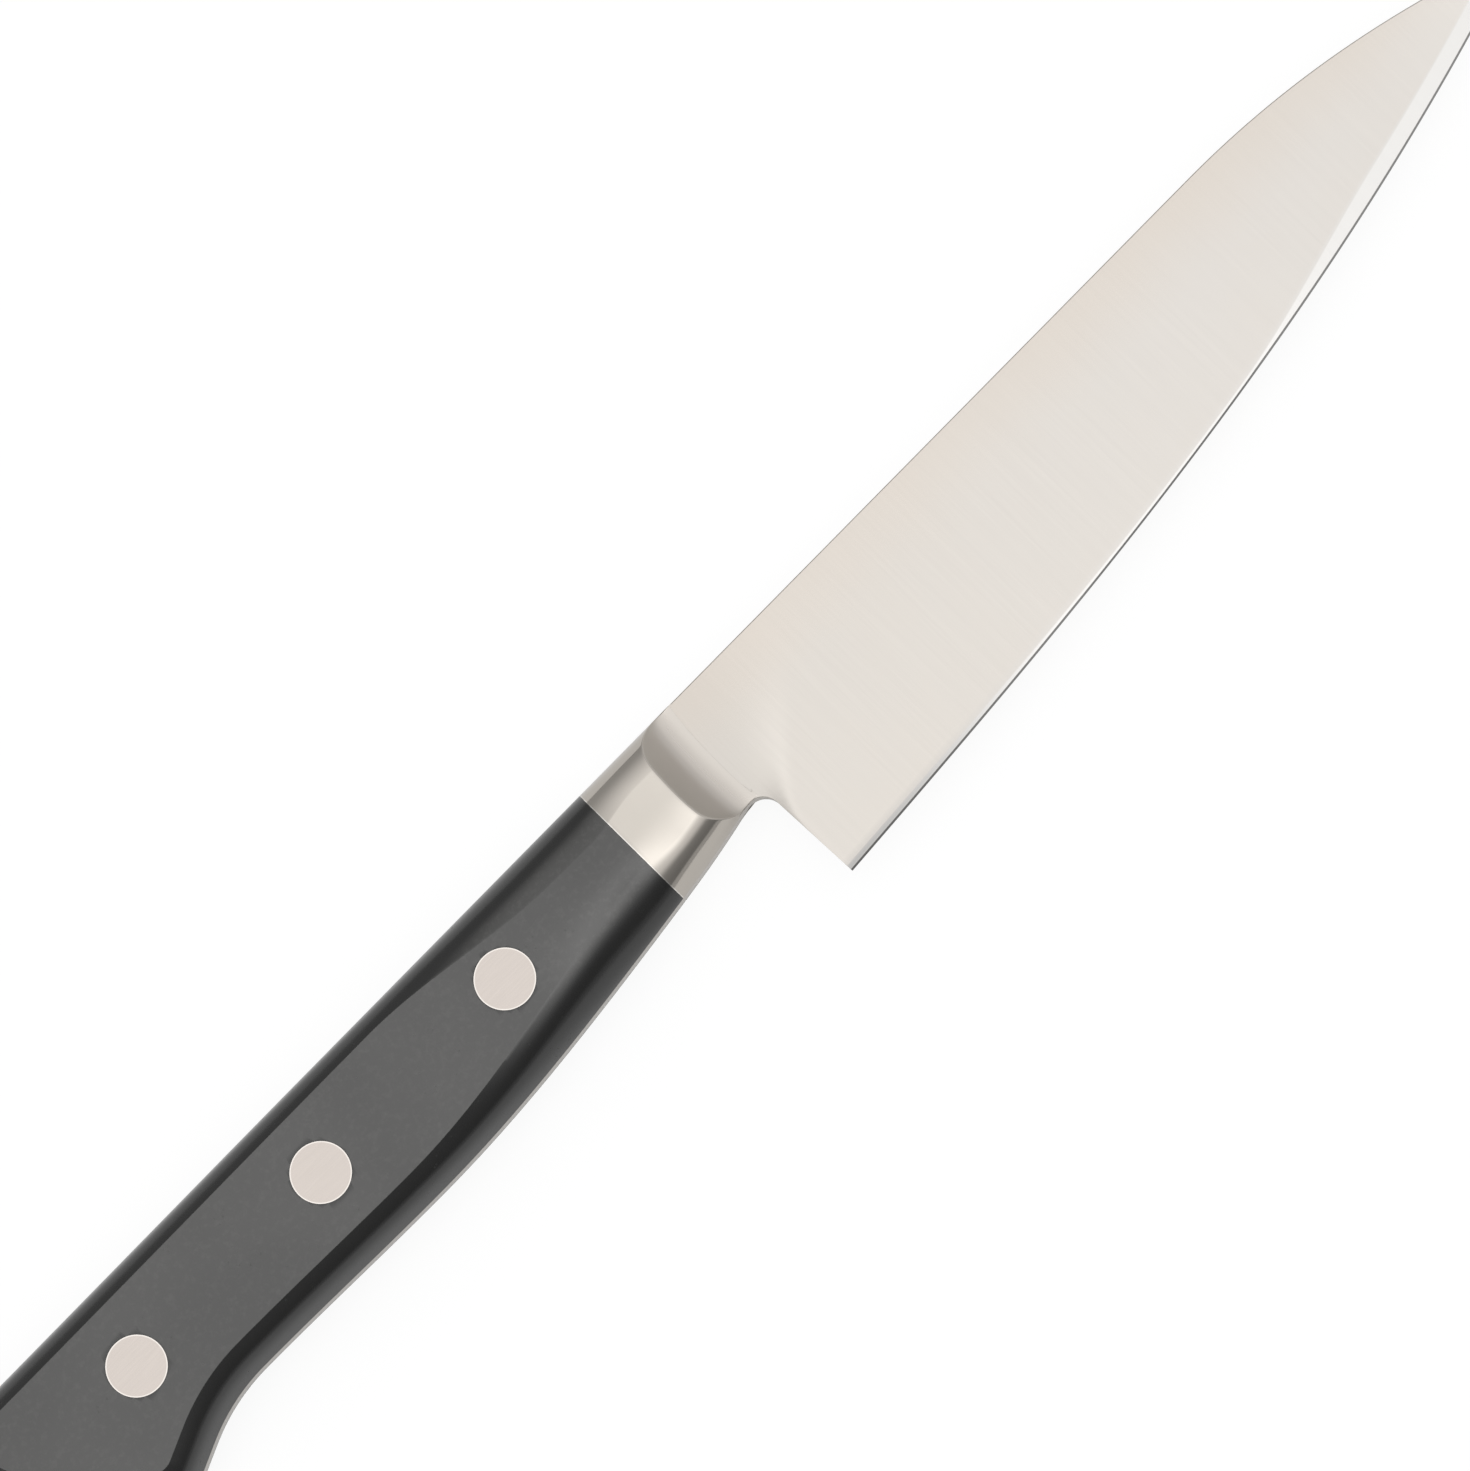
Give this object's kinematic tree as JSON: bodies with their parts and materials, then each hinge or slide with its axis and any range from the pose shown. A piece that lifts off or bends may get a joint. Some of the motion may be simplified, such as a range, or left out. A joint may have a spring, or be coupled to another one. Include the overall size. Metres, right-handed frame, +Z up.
{
  "type": "petty knife",
  "caption": "Small double-bevel kitchen knife with a full tang, welded bolster halves and black handle scales held by flush round rivets, lying on its side.",
  "frame": {"origin": "centre of the box on the surface that the knife lies on, under its left side", "axes": "+X from the butt to the tip, +Y from the edge to the spine, +Z up out of the right-hand side"},
  "size_m": [0.2331, 0.0268, 0.0116],
  "materials": {
    "blade_steel": "finely ground, satin to near mirror",
    "bolster_steel": "buffed",
    "scale_black": "satin black resin composite, faint grain",
    "rivet_steel": "ground flush with the scales"
  },
  "bodies": {
    "root": {"blade": "blade_steel", "bolster_right": "bolster_steel", "bolster_left": "bolster_steel", "scale_right": "scale_black", "scale_left": "scale_black", "rivet_front_post": "rivet_steel", "rivet_front_socket": "rivet_steel", "rivet_middle_post": "rivet_steel", "rivet_middle_socket": "rivet_steel", "rivet_rear_post": "rivet_steel", "rivet_rear_socket": "rivet_steel"}
  },
  "joints": []
}
